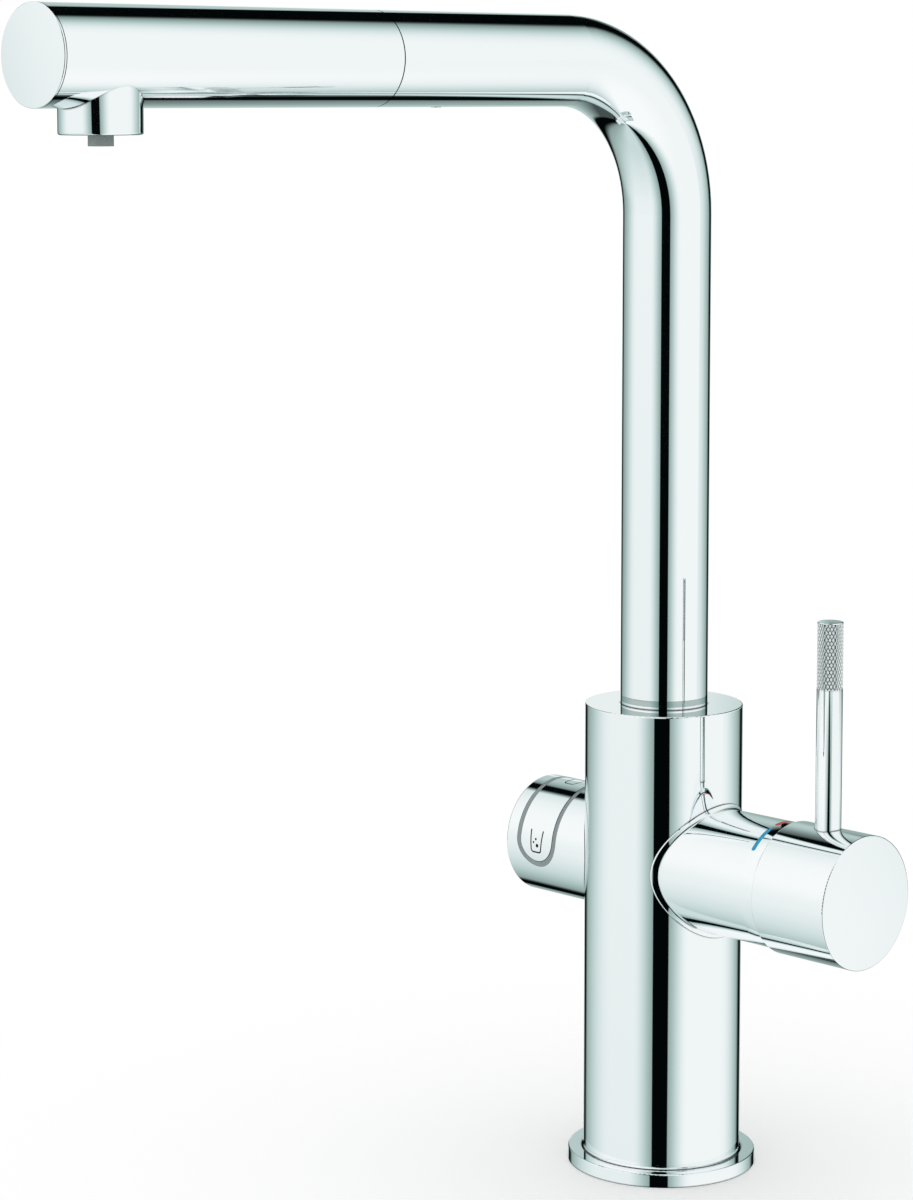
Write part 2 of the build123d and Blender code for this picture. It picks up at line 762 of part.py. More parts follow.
# Handle: a drum with a slightly domed end, whose rim clears the sleeve's dome as it tips
skirt_r = sleeve_r + dome_gap
skirt_x = handle_start - pivot_x
skirt_end = sqrt(skirt_r**2 - handle_bore**2)
skirt_mid = (skirt_x + skirt_end) / 2
corner_in = edge_round * (1 - sqrt(0.5))
with BuildPart() as handle_shell:
    with BuildSketch(mixer_plane):
        with BuildLine():
            ThreePointArc(
                (handle_start, sqrt(skirt_r**2 - skirt_x**2)),
                (pivot_x + skirt_mid, sqrt(skirt_r**2 - skirt_mid**2)),
                (pivot_x + skirt_end, handle_bore),
            )
            Polyline(
                (pivot_x + skirt_end, handle_bore),
                (handle_end - end_wall, handle_bore),
                (handle_end - end_wall, 0),
                (handle_end, 0),
            )
            dome_end = (handle_end - handle_dome, handle_r - edge_round)
            ThreePointArc((handle_end, 0), (handle_end - handle_dome / 4, handle_r / 2), dome_end)
            drum_end = (handle_end - handle_dome - edge_round, handle_r)
            drum_start = (handle_start + edge_round, handle_r)
            rim_end = (handle_start, handle_r - edge_round)
            ThreePointArc(dome_end, (dome_end[0] - corner_in, handle_r - corner_in), drum_end)
            Line(drum_end, drum_start)
            ThreePointArc(drum_start, (handle_start + corner_in, handle_r - corner_in), rim_end)
            Line(rim_end, (handle_start, sqrt(skirt_r**2 - skirt_x**2)))
        make_face()
    revolve(axis=mixer_axis)
    wall_in = handle_bore - 2
    wall_out = handle_r + 2
    drill(on_mixer(lever_x, 0, wall_in), on_mixer(lever_x, 0, wall_out), rod_stud_r + loose_gap)
    drill(on_mixer(set_screw_x, 0, -wall_in), on_mixer(set_screw_x, 0, -wall_out), rod_stud_r + 0.3)

with BuildPart() as handle_insert:
    insert_end = handle_end - end_wall - loose_gap
    insert_rim = handle_bore - loose_gap
    turned_on_mixer(
        (hub_start, 0),
        (hub_start, hub_nose_r),
        (hub_nose, hub_nose_r),
        (hub_nose, hub_r),
        (hub_end, hub_r),
        (hub_end, insert_rim),
        (insert_end, insert_rim),
        (insert_end, 0),
    )
    with BuildSketch(across_mixer(hub_start - 1)):
        Rectangle(2 * stem_half_y + 0.04, 2 * stem_half_z + 0.04)
    extrude(amount=stem_end - hub_start + 1.1, mode=Mode.SUBTRACT)
    stud_hole_r = rod_stud_r + fit_gap
    drill(on_mixer(lever_x, 0, rod_stud_low - 0.4), on_mixer(lever_x, 0, hub_r + 1), stud_hole_r)
    drill(on_mixer(set_screw_x, 0, 0.5 - stem_half_z), on_mixer(set_screw_x, 0, -hub_r - 1), stud_hole_r)

with BuildPart() as lever_rod:
    pipe(on_mixer(lever_x, 0, handle_r - 2), (lever_x, 0, rod_top), rod_r)
    drill(on_mixer(handle_start), on_mixer(handle_end), handle_r + 0.02)
    top_edge = lever_rod.edges().filter_by(GeomType.CIRCLE).sort_by(Axis.Z)[-1]
    chamfer(top_edge, edge_round)
    pipe(on_mixer(lever_x, 0, rod_stud_low), on_mixer(lever_x, 0, handle_r + 1), rod_stud_r)

with BuildPart() as handle_set_screw:
    screw_foot = on_mixer(set_screw_x, 0, -set_screw_low)
    pipe(on_mixer(set_screw_x, 0, -stem_half_z - 0.03), screw_foot, rod_stud_r)
    hex_socket(screw_foot, (0, 0, 1), 1.3, 2.5)

# Control knob. Its parts are placed from a slanted direction that points out through the middle of
# the capsule-shaped button.
knob_mid_angle = (capsule_low + capsule_high) / 2
out_dir = Vector(*radial(knob_mid_angle))
up_dir = Vector(0, sin(radians(knob_mid_angle)), cos(radians(knob_mid_angle)))


def knob_point(x, across, out):
    # A point in the knob: along its axis, across the button and outwards through the button.
    place = Vector(knob_mid + x, 0, mixer_z) + up_dir * across + out_dir * out
    return (place.X, place.Y, place.Z)


def knob_level(out):
    # A plane parallel to the button's middle, at a distance out from the knob's axis.
    return Plane(origin=knob_point(0, 0, out), x_dir=(1, 0, 0), z_dir=out_dir)


def knob_block(x_half, across_half, low, high, x_mid=0.0, across_mid=0.0, mode=Mode.ADD):
    # A rectangular block in the knob's slanted directions.
    with BuildSketch(knob_level(low)) as profile:
        with Locations((x_mid, across_mid)):
            Rectangle(2 * x_half, 2 * across_half)
    extrude(profile.sketch, amount=high - low, mode=mode)


def capsule(half_width, mode=Mode.ADD):
    # A capsule outline wrapped round the knob, as a thick radial block.
    low = 12.0
    high = 21.0
    curved_block(knob_mid, half_width, low, high, capsule_low, capsule_high, mode)
    for angle in (capsule_low, capsule_high):
        _, out_y, out_z = radial(angle)
        start = (knob_mid, out_y * low, mixer_z + out_z * low)
        end = (knob_mid, out_y * high, mixer_z + out_z * high)
        pipe(start, end, half_width, mode=mode)


def keep_between(inner, outer):
    # Keeps only what lies between two radii of the knob.
    pipe(on_mixer(knob_end - 1), on_mixer(-10), outer, inner, Mode.INTERSECT)


with BuildPart() as knob_shell:
    pipe(on_mixer(knob_end), on_mixer(-12), knob_r)
    rims = knob_shell.edges().filter_by(GeomType.CIRCLE).sort_by(Axis.X)[0]
    fillet(rims, edge_round)
    drill(on_mixer(knob_end + 2), on_mixer(-11), knob_bore)
    drill((0, 0, mixer_z - 30), (0, 0, mixer_z + 30), body_r + saddle_gap)
    capsule(light_out + 0.02, Mode.SUBTRACT)

# Grey light guide: a capsule ring, with four feet down to the lamps
with BuildPart() as light_ring:
    capsule(light_out)
    capsule(light_in, Mode.SUBTRACT)
    keep_between(knob_bore + loose_gap, knob_r - light_sunk)
    for x_side in (-lamp_x, lamp_x):
        for t_side in (-lamp_t, lamp_t):
            foot = knob_point(x_side, t_side, lamp_top + loose_gap)
            pipe(foot, knob_point(x_side, t_side, knob_bore + 0.6), 0.5)

with BuildPart() as knob_core:
    pipe(on_mixer(core_back), on_mixer(core_front), knob_core_r)
    pocket_half = (pocket_front - pocket_back) / 2
    pocket_mid = (pocket_front + pocket_back) / 2 - knob_mid
    knob_block(pocket_half, 20, pocket_floor, 20, pocket_mid, mode=Mode.SUBTRACT)
    pipe(on_mixer(core_front), on_mixer(knob_spigot_end), knob_spigot_r)
    drill(on_mixer(core_back - 1), on_mixer(knob_screw_head), knob_screw_head_r + 0.4)
    drill(on_mixer(knob_screw_head - 0.1), on_mixer(knob_spigot_end + 1), knob_screw_r + loose_gap)
    # The lead comes up from below and slants to the low end of the switch board's pocket.
    drill(on_mixer(cable_x, 0, -knob_spigot_r - 0.2), on_mixer(cable_x, 0, -8.5), 1.5)
    drill(on_mixer(cable_x, 0, -9), on_mixer(-30, -10.4, 0.2), 1.5)
    hole_start = knob_point(core_back - 1 - knob_mid, 0, pivot_out)
    hole_end = knob_point(pin_tip + loose_gap - knob_mid, 0, pivot_out)
    drill(hole_start, hole_end, button_pin_r + 0.02)

with BuildPart() as knob_screw:
    head_start = on_mixer(knob_screw_head - 2.5)
    pipe(head_start, on_mixer(knob_screw_head), knob_screw_head_r)
    pipe(on_mixer(knob_screw_head), on_mixer(knob_screw_tip), knob_screw_r)
    hex_socket(head_start, (1, 0, 0), 1.5, 1.6)

with BuildPart() as switch_board:
    knob_block(8.9, 13.2, pocket_floor + fit_gap, board_top)

with BuildPart() as touch_switches:
    for t_side in (-switch_t, switch_t):
        knob_block(switch_half, switch_half, board_top + fit_gap, switch_top, across_mid=t_side)
        pipe(knob_point(0, t_side, switch_top), knob_point(0, t_side, switch_top + 0.2), 0.9)

with BuildPart() as light_leds:
    for x_side in (-lamp_x, lamp_x):
        for t_side in (-lamp_t, lamp_t):
            knob_block(0.7, 0.7, board_top + fit_gap, lamp_top, x_side, t_side)

with BuildPart() as keypad_seal:
    knob_block(6.3, 11.8, keypad_low, keypad_high)
    for t_side in (-11.5, 11.5):
        knob_block(6.3, 0.3, board_top + fit_gap, keypad_high, across_mid=t_side)
    for t_side in (-switch_t, switch_t):
        pipe(knob_point(0, t_side, keypad_low), knob_point(0, t_side, dome_top), 1.5)

with BuildPart() as button_pivot_pin:
    pin_start = knob_point(core_back + 0.2 - knob_mid, 0, pivot_out)
    pipe(pin_start, knob_point(pin_tip - knob_mid, 0, pivot_out), button_pin_r)

# Rocker under the button, with a plunger over each switch
with BuildPart() as button_carrier:
    carrier_outer = button_inner - 0.01
    low_angle = knob_mid_angle - carrier_span
    high_angle = knob_mid_angle + carrier_span
    curved_block(knob_mid, carrier_half, carrier_inner, carrier_outer, low_angle, high_angle)
    pipe(knob_point(-carrier_half, 0, pivot_out), knob_point(carrier_half, 0, pivot_out), 1.9)
    for t_side in (-switch_t, switch_t):
        pipe(knob_point(0, t_side, plunger_end), knob_point(0, t_side, 13.5), 1.3)
    hole_start = knob_point(-carrier_half - 1, 0, pivot_out)
    hole_end = knob_point(carrier_half + 1, 0, pivot_out)
    drill(hole_start, hole_end, button_pin_r + fit_gap)

# Icons: an open tumbler with three bubbles at the low end, a closed tumbler at the high end
glass_top = 2.6
glass_foot = 2.0
glass_half_height = 3.55
glass_round = 0.9
bubbles = ((-0.2, 0.6, 0.4), (-1.1, -0.5, 0.36), (0.5, -1.4, 0.6))


def icon_plane(angle):
    out = radial(angle)
    start = (knob_mid, out[1] * 14, mixer_z + out[2] * 14)
    return Plane(origin=start, x_dir=(1, 0, 0), z_dir=out)


glass_wall = (
    (-glass_top, glass_half_height),
    (-glass_foot, -glass_half_height),
    (glass_foot, -glass_half_height),
    (glass_top, glass_half_height),
)
with BuildPart() as button_icons:
    with BuildSketch(icon_plane(icon_low)):
        with BuildLine():
            FilletPolyline(*glass_wall, radius=glass_round)
        trace(line_width=icon_stroke)
        for bubble_x, bubble_y, bubble_r in bubbles:
            with Locations((bubble_x, bubble_y)):
                Circle(bubble_r)
    extrude(amount=7)
    with BuildSketch(icon_plane(icon_high)):
        with BuildLine():
            FilletPolyline(*glass_wall, radius=glass_round)
            Line(glass_wall[0], glass_wall[-1])
        trace(line_width=icon_stroke)
    extrude(amount=7)
    keep_between(knob_r - icon_depth, knob_r)

with BuildPart() as button_plate:
    capsule(button_half)
    keep_between(button_inner, knob_r)
    add(button_icons.part, mode=Mode.SUBTRACT)

pieces = {
    "base_plate": base_plate,
    "base_gasket": base_gasket,
    "body_shell": body_shell,
    "waterway_core": waterway_core,
    "non_return_valves": non_return_valves,
    "cable_gland": cable_gland,
    "swivel_socket": swivel_socket,
    "lower_slide_ring": lower_slide_ring,
    "top_slide_ring": top_slide_ring,
    "riser_washer": riser_washer,
    "swivel_stop_screw": swivel_stop_screw,
    "spout_tube": spout_tube,
    "dock_collar": dock_collar,
    "dock_screw": dock_screw,
    "hose_guides": hose_guides,
    "pull_out_hose": pull_out_hose,
    "filtered_hose": filtered_hose,
    "head_shell": head_shell,
    "head_end_cap": head_end_cap,
    "head_spigot": head_spigot,
    "spigot_o_ring": spigot_o_ring,
    "hose_connector": hose_connector,
    "head_valve": head_valve,
    "flow_insert": flow_insert,
    "aerator_seal": aerator_seal,
    "aerator_housing": aerator_housing,
    "aerator_mesh": aerator_mesh,
    "filtered_nozzle": filtered_nozzle,
    "cold_mark": cold_mark,
    "hot_mark": hot_mark,
    "mixer_sleeve": mixer_sleeve,
    "cartridge_base": cartridge_base,
    "cartridge_seals": cartridge_seals,
    "ceramic_disc_fixed": ceramic_disc_fixed,
    "cartridge_housing": cartridge_housing,
    "cartridge_nut": cartridge_nut,
    "ceramic_disc_moving": ceramic_disc_moving,
    "disc_carrier": disc_carrier,
    "cartridge_spindle": cartridge_spindle,
    "lever_pivot_pin": lever_pivot_pin,
    "lever_stem": lever_stem,
    "handle_shell": handle_shell,
    "handle_insert": handle_insert,
    "lever_rod": lever_rod,
    "handle_set_screw": handle_set_screw,
    "knob_shell": knob_shell,
    "light_ring": light_ring,
    "knob_core": knob_core,
    "knob_screw": knob_screw,
    "switch_board": switch_board,
    "touch_switches": touch_switches,
    "light_leds": light_leds,
    "keypad_seal": keypad_seal,
    "button_pivot_pin": button_pivot_pin,
    "button_carrier": button_carrier,
    "button_icons": button_icons,
    "button_plate": button_plate,
}
for name, piece in pieces.items():
    piece.part.label = name
    export_step(piece.part, f"parts/{name}.step")
    print(name, "volume", round(piece.part.volume))
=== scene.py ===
from math import pi, radians

import bpy
import numpy as np
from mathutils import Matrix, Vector


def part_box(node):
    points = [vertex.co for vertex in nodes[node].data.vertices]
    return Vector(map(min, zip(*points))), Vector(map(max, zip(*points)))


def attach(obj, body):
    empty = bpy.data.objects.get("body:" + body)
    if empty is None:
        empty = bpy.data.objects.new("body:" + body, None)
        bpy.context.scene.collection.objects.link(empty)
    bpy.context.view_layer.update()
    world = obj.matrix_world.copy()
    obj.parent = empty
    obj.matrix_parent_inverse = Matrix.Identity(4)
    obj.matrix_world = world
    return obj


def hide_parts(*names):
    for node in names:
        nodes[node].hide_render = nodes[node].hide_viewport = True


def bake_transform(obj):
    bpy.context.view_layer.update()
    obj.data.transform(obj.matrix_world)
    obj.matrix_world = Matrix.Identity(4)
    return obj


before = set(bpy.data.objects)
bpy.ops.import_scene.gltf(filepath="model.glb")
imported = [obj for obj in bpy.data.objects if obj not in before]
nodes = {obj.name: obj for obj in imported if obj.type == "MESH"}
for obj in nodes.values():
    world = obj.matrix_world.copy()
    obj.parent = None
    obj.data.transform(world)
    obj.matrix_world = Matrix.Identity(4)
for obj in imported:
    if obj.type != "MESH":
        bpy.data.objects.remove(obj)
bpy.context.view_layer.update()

# Looks of a filtered water kitchen tap in polished chrome. Lengths in the dictionaries are millimetres, and
# a span is the two values between which a step runs from its first result to its second
mm = 0.001
scene = bpy.context.scene


def toLinear(hexColour):
    # sRGB hex to the linear colour that a shader's socket takes, by the formula of the sRGB standard
    parts = [int(hexColour[i:i + 2], 16) / 255 for i in (1, 3, 5)]
    return tuple(c / 12.92 if c <= 0.04045 else ((c + 0.055) / 1.055) ** 2.4 for c in parts) + (1.0,)


def addNode(tree, kind, inputs=None, **settings):
    # one node with its settings; an input is a plain value or another node's output to link
    made = tree.nodes.new(kind)
    for name, value in settings.items():
        setattr(made, name, value)
    for socket, value in (inputs or {}).items():
        if isinstance(value, bpy.types.NodeSocket):
            tree.links.new(value, made.inputs[socket])
        else:
            made.inputs[socket].default_value = value
    return made


def maths(tree, operation, *values):
    # one Math node on values or outputs, and its result
    return addNode(tree, "ShaderNodeMath", dict(enumerate(values)), operation=operation).outputs[0]


def product(tree, *values):
    # all values multiplied
    result = values[0]
    for value in values[1:]:
        result = maths(tree, "MULTIPLY", result, value)
    return result


def rest(tree, share):
    # what is left of 1 without the share
    return maths(tree, "SUBTRACT", 1.0, share)


def mixed(tree, factor, first, second):
    # a number that is first where factor is 0 and second where it is 1
    return addNode(tree, "ShaderNodeMix", {0: factor, 2: first, 3: second}).outputs[0]


def colourMix(tree, factor, first, second):
    # a colour that is first where factor is 0 and second where it is 1
    return addNode(tree, "ShaderNodeMix", {0: factor, 6: first, 7: second}, data_type="RGBA").outputs[2]


def ramped(tree, value, low, high, bottom=0.0, top=1.0, smooth=True):
    # value from low to high, turned into bottom to top and held level beyond both ends
    made = addNode(tree, "ShaderNodeMapRange", {"Value": value, "From Min": low, "From Max": high,
                                                "To Min": bottom, "To Max": top},
                   interpolation_type="SMOOTHSTEP" if smooth else "LINEAR")
    return made.outputs["Result"]


def edged(tree, value, edge, soft, bottom=0.0, top=1.0):
    # bottom below the edge and top above it, with a smooth step from soft before it to soft after it
    start, end = maths(tree, "SUBTRACT", edge, soft), maths(tree, "ADD", edge, soft)
    return ramped(tree, value, start, end, bottom, top)


def ownCoordinates(tree):
    # the piece's own coordinates, in metres
    return addNode(tree, "ShaderNodeTexCoord").outputs["Object"]


def noise(tree, vector, size, detail=2.0, stretch=(1, 1, 1)):
    # noise whose lumps are about size millimetres across
    placed = addNode(tree, "ShaderNodeMapping", {"Vector": vector, "Scale": stretch}).outputs[0]
    made = addNode(tree, "ShaderNodeTexNoise", {"Vector": placed, "Scale": 1 / (size * mm),
                                                "Detail": detail, "Roughness": 0.5})
    return made.outputs["Fac"]


def bumped(tree, height, depth):
    # bump whose full height is depth millimetres
    inputs = {"Height": height, "Distance": depth * mm, "Strength": 1.0}
    return addNode(tree, "ShaderNodeBump", inputs).outputs[0]


seamPlan = {"reach": 0.6, "samples": 6, "span": (0.55, 0.96)}


def openness(tree, plan):
    # 0 in a seam or groove narrower than about the plan's reach, 1 out in the open
    opened = addNode(tree, "ShaderNodeAmbientOcclusion", {"Distance": plan["reach"] * mm},
                     samples=plan["samples"]).outputs["AO"]
    return ramped(tree, opened, *plan["span"])


def newMaterial(name):
    # an empty node material with its surface shader
    material = bpy.data.materials.new(name)
    material.use_nodes = True
    tree = material.node_tree
    tree.nodes.clear()
    shader = addNode(tree, "ShaderNodeBsdfPrincipled")
    addNode(tree, "ShaderNodeOutputMaterial", {"Surface": shader.outputs[0]})
    return material, tree, shader


def connect(tree, shader, colour, roughness, bump=None):
    # joins the shader's colour, its roughness and, where there is one, its bump to their nodes
    for socket, output in (("Base Color", colour), ("Roughness", roughness), ("Normal", bump)):
        if output is not None:
            tree.links.new(output, shader.inputs[socket])


def meshObject(name, points, faces, uv=None):
    # a mesh from an array of points in metres and an array of faces, with an optional (u, v) for each point
    mesh = bpy.data.meshes.new(name)
    mesh.from_pydata(points.reshape(-1, 3), [], faces)
    mesh.validate()
    if uv is not None:
        corner = np.empty(len(mesh.loops), np.int32)
        mesh.loops.foreach_get("vertex_index", corner)
        layer = mesh.uv_layers.new(name="along")
        layer.data.foreach_set("uv", uv.reshape(-1, 2)[corner].astype(np.float32).ravel())
    mesh.polygons.foreach_set("use_smooth", np.ones(len(mesh.polygons), bool))
    piece = bpy.data.objects.new(name, mesh)
    scene.collection.objects.link(piece)
    return piece


def ringFaces(rows, around):
    # quads between neighbouring rows of a grid that closes on itself round each row
    i, j = np.meshgrid(np.arange(rows - 1), np.arange(around), indexing="ij")
    k = (j + 1) % around
    near, far = i * around, (i + 1) * around
    return np.stack([near + j, near + k, far + k, far + j], -1).reshape(-1, 4)


chromePlan = {"hazeSize": 14, "hazeSpan": (0.35, 0.7), "rippleSize": 22}


def chromePlating(name, colour, seamShade, roughness, ripple, plan=chromePlan):
    # mirror chrome over polished brass: the sheen wanders a little where the buff passed, and a faint ripple
    # under the plating keeps long reflections from being ruler straight. Seams and grooves are painted dark
    # as shade where ambient occlusion finds them, which draws the fine dark lines between the parts
    material, tree, shader = newMaterial(name)
    place = ownCoordinates(tree)
    haze = noise(tree, place, plan["hazeSize"], detail=3)
    waves = noise(tree, place, plan["rippleSize"], detail=1)
    # painted shade: the seam colour darkens the chrome where ambient occlusion finds a narrow seam or groove
    connect(tree, shader, colourMix(tree, openness(tree, seamPlan), toLinear(seamShade), toLinear(colour)),
            ramped(tree, haze, *plan["hazeSpan"], *roughness), bumped(tree, waves, ripple))
    shader.inputs["Metallic"].default_value = 1.0
    return material


lathePlan = {
    "lineSize": 0.5,
    "lineStretch": (0.12, 0.12, 1.6),    # long across, short in height, as on a part turned upright
    "lineSpan": (0.3, 0.7),
    "patchSize": 7,
    "patchSpan": (0.3, 0.75),
}


def turnedMetal(name, colour, dark, roughness, groove, plan=lathePlan):
    # metal as it leaves the lathe: fine tool lines round the upright axis, and slightly darker patches
    material, tree, shader = newMaterial(name)
    place = ownCoordinates(tree)
    lines = noise(tree, place, plan["lineSize"], detail=1, stretch=plan["lineStretch"])
    patches = ramped(tree, noise(tree, place, plan["patchSize"]), *plan["patchSpan"])
    connect(tree, shader, colourMix(tree, patches, toLinear(colour), toLinear(dark)),
            ramped(tree, lines, *plan["lineSpan"], *roughness), bumped(tree, lines, groove))
    shader.inputs["Metallic"].default_value = 1.0
    return material


mouldPlan = {"flowSize": 9, "flowSpan": (0.3, 0.7), "grainSpan": (0.3, 0.7)}


def mouldedPlastic(name, colour, shade, roughness, grain, depth, clear=0.0, flake=0.0, plan=mouldPlan):
    # injection moulded plastic: an eroded tool leaves a fine even grain, and flow marks shift the tone
    # slightly. Metal flake in the pigment gives it a soft metallic sheen
    material, tree, shader = newMaterial(name)
    place = ownCoordinates(tree)
    flow = ramped(tree, noise(tree, place, plan["flowSize"], detail=1), *plan["flowSpan"])
    fine = noise(tree, place, grain)
    connect(tree, shader, colourMix(tree, flow, toLinear(colour), toLinear(shade)),
            ramped(tree, fine, *plan["grainSpan"], *roughness), bumped(tree, fine, depth))
    shader.inputs["Transmission Weight"].default_value = clear
    shader.inputs["Metallic"].default_value = flake
    return material


ceramicPlan = {
    "grainSize": 0.35,
    "speckSpan": (0.05, 0.3),
    "roughSpan": (0.1, 0.7),
    "roughness": (0.16, 0.3),
}


def sinteredCeramic(name, colour, speck, plan=ceramicPlan):
    # lapped ceramic: nearly white, with tiny darker grains and a smooth lapped face
    material, tree, shader = newMaterial(name)
    cells = addNode(tree, "ShaderNodeTexVoronoi", {"Vector": ownCoordinates(tree),
                                                   "Scale": 1 / (plan["grainSize"] * mm)})
    grains = cells.outputs["Distance"]
    specks = ramped(tree, grains, *plan["speckSpan"])
    connect(tree, shader, colourMix(tree, specks, toLinear(speck), toLinear(colour)),
            ramped(tree, grains, *plan["roughSpan"], *plan["roughness"]))
    return material


boardPlan = {
    "laneLength": 3.0,
    "laneWidth": 1.1,
    "laneGap": 0.16,
    "laneDepth": 0.03,
    "maskSize": 2,
    "maskSpan": (0.3, 0.7),
    "roughness": (0.25, 0.4),
}


def circuitBoard(name, mask, copper, plan=boardPlan):
    # green solder mask over copper tracks that show as slightly lighter raised lanes
    material, tree, shader = newMaterial(name)
    place = ownCoordinates(tree)
    bricks = addNode(tree, "ShaderNodeTexBrick", {"Vector": place, "Scale": 1.0,
                                                  "Brick Width": plan["laneLength"] * mm,
                                                  "Row Height": plan["laneWidth"] * mm,
                                                  "Mortar Size": plan["laneGap"] * mm})
    lanes = bricks.outputs["Fac"]
    pool = noise(tree, place, plan["maskSize"])
    connect(tree, shader, colourMix(tree, lanes, toLinear(mask), toLinear(copper)),
            ramped(tree, pool, *plan["maskSpan"], *plan["roughness"]), bumped(tree, lanes, plan["laneDepth"]))
    return material


enamelPlan = {"poolSize": 1.2, "toneSpan": (0.35, 0.7), "roughSpan": (0.3, 0.7), "roughness": (0.3, 0.42)}


def bakedEnamel(name, colour, deep, gloss, plan=enamelPlan):
    # enamel rubbed into a shallow pocket, a touch deeper in tone where it lies thicker
    material, tree, shader = newMaterial(name)
    pool = noise(tree, ownCoordinates(tree), plan["poolSize"])
    tone = ramped(tree, pool, *plan["toneSpan"])
    connect(tree, shader, colourMix(tree, tone, toLinear(colour), toLinear(deep)),
            ramped(tree, pool, *plan["roughSpan"], *plan["roughness"]))
    shader.inputs["Specular IOR Level"].default_value = gloss
    return material


# one finish for each material slot of the record, but for the braided hose, which has its own below
finishes = {
    # the third colour of each plating is the painted shade in its seams and grooves
    "chrome_plated_brass":
        chromePlating("polished chrome over brass", "#f8fbfc", "#20292a", (0.02, 0.04), 0.0015),
    "turned_brass":
        turnedMetal("brass off the lathe", "#d2ab62", "#b58d4a", (0.22, 0.36), 0.006),
    "stainless_steel":
        turnedMetal("stainless steel, drawn and cut", "#c9cbcb", "#b3b6b7", (0.2, 0.34), 0.004),
    "polished_stainless_steel":
        chromePlating("polished stainless steel", "#b4c2bf", "#93a09e", (0.04, 0.08), 0.002),
    "grey_acetal":
        mouldedPlastic("grey acetal, machined", "#8d9a99", "#7f8c8b", (0.38, 0.5), 0.5, 0.006),
    "white_acetal":
        mouldedPlastic("white acetal, moulded", "#ecebe5", "#e2e1da", (0.36, 0.48), 0.6, 0.006),
    "grey_aerator_plastic":
        mouldedPlastic("grey plastic with metal flake, moulded", "#9aa2a2", "#8c9494",
                       (0.2, 0.28), 0.4, 0.004, flake=0.75),
    "black_nylon":
        mouldedPlastic("black glass filled nylon", "#222427", "#191b1e", (0.45, 0.62), 0.35, 0.012),
    "black_rubber":
        mouldedPlastic("black seal rubber", "#1c1d1e", "#242526", (0.6, 0.75), 0.8, 0.015),
    "sintered_ceramic":
        sinteredCeramic("lapped ceramic", "#f2f0ea", "#d8d4ca"),
    "clear_polyethylene_tube":
        mouldedPlastic("clear polyethylene tube, extruded", "#eef3f2", "#e4ebea", (0.18, 0.28), 1.5, 0.004,
                       clear=0.55),
    "light_guide_plastic":
        mouldedPlastic("frosted light guide", "#8e9a9c", "#879395", (0.3, 0.4), 0.4, 0.005, clear=0.1),
    "icon_enamel":
        bakedEnamel("matt dark grey enamel", "#171b1d", "#101314", 0.12),
    "blue_enamel":
        bakedEnamel("blue enamel", "#2ba3cc", "#1c8fb8", 0.25),
    "red_enamel":
        bakedEnamel("red enamel", "#d2463a", "#bb382e", 0.2),
    "green_circuit_board":
        circuitBoard("circuit board", "#1e5a3c", "#2f7a54"),
    "lamp_resin":
        mouldedPlastic("lamp resin", "#f4f1e6", "#ebe6d6", (0.2, 0.3), 0.5, 0.003, clear=0.2),
    "switch_plastic":
        mouldedPlastic("switch housing plastic", "#303236", "#26282b", (0.4, 0.5), 0.4, 0.008),
}
print("finishes made:", len(finishes))

braidPlan = {
    "colour": "#b9bdbe",
    "shade": "#8f9496",
    "strands": 16,            # of one family, counted round the hose
    "strandStep": 4.5,        # along the hose, from one strand of a family to the next
    "depth": 0.25,
    "heightSpan": (0.05, 0.6),
    "roughness": (0.42, 0.5),
}


def braidedNylon(name, plan, axisHeight):
    # braid of nylon strands round a hose: two families of helices cross, each crossing stands up as a small
    # pad, the grooves between the pads are painted darker as shade, and every other strand is a little
    # rougher.
    # The angle round the hose and the distance along it come from the piece's own coordinates on its level
    # run, the only run that is ever seen
    material, tree, shader = newMaterial(name)
    x, y, z = addNode(tree, "ShaderNodeSeparateXYZ", {"Vector": ownCoordinates(tree)}).outputs
    turn = maths(tree, "ARCTAN2", x, maths(tree, "SUBTRACT", z, axisHeight))
    strandTurn = maths(tree, "MULTIPLY", turn, plan["strands"] / (2 * pi))
    along = maths(tree, "DIVIDE", y, plan["strandStep"] * mm)
    one = maths(tree, "ADD", strandTurn, along)
    other = maths(tree, "SUBTRACT", strandTurn, along)
    half = 0.5
    second = maths(tree, "GREATER_THAN", maths(tree, "PINGPONG", maths(tree, "ADD", one, half), 1.0), half)
    pads = [maths(tree, "PINGPONG", family, half) for family in (one, other)]
    height = product(tree, *pads, 1 / half ** 2)
    # painted shade: the braid goes over to its shade colour towards the bottom of its grooves
    tone = ramped(tree, height, *plan["heightSpan"])
    connect(tree, shader, colourMix(tree, tone, toLinear(plan["shade"]), toLinear(plan["colour"])),
            ramped(tree, second, 0, 1, *plan["roughness"]), bumped(tree, height, plan["depth"]))
    return material


def dressNodes():
    # every CAD node takes the finish of its slot
    for node in nodes.values():
        for place in node.material_slots:
            slotName = place.material.name.split(".")[0]
            if slotName in finishes:
                place.material = finishes[slotName]


rodPlan = {
    "gripLength": 20.1,       # knurled length below the rod's top
    "gripLead": 0.02,         # the last smooth row lies this far below the grip
    "footRow": 2.0,           # the first full row above the rod's foot
    "diamondsRound": 24,      # diamonds once round the rod, about 1 mm each
    "diamondLength": 2.15,    # one diamond along the rod
    "grooveDepth": 0.3,
    # the groove colour is painted shade, full at the bottom of each knurl groove
    "grooveShadeColour": "#33403e",
    "grooveShade": (0.6, 1.0),    # share of the depth at which the dark of a groove starts and is full
    "endRound": 0.35,
    "endSteps": 6,
    "steps": 8,               # mesh steps across one diamond
}


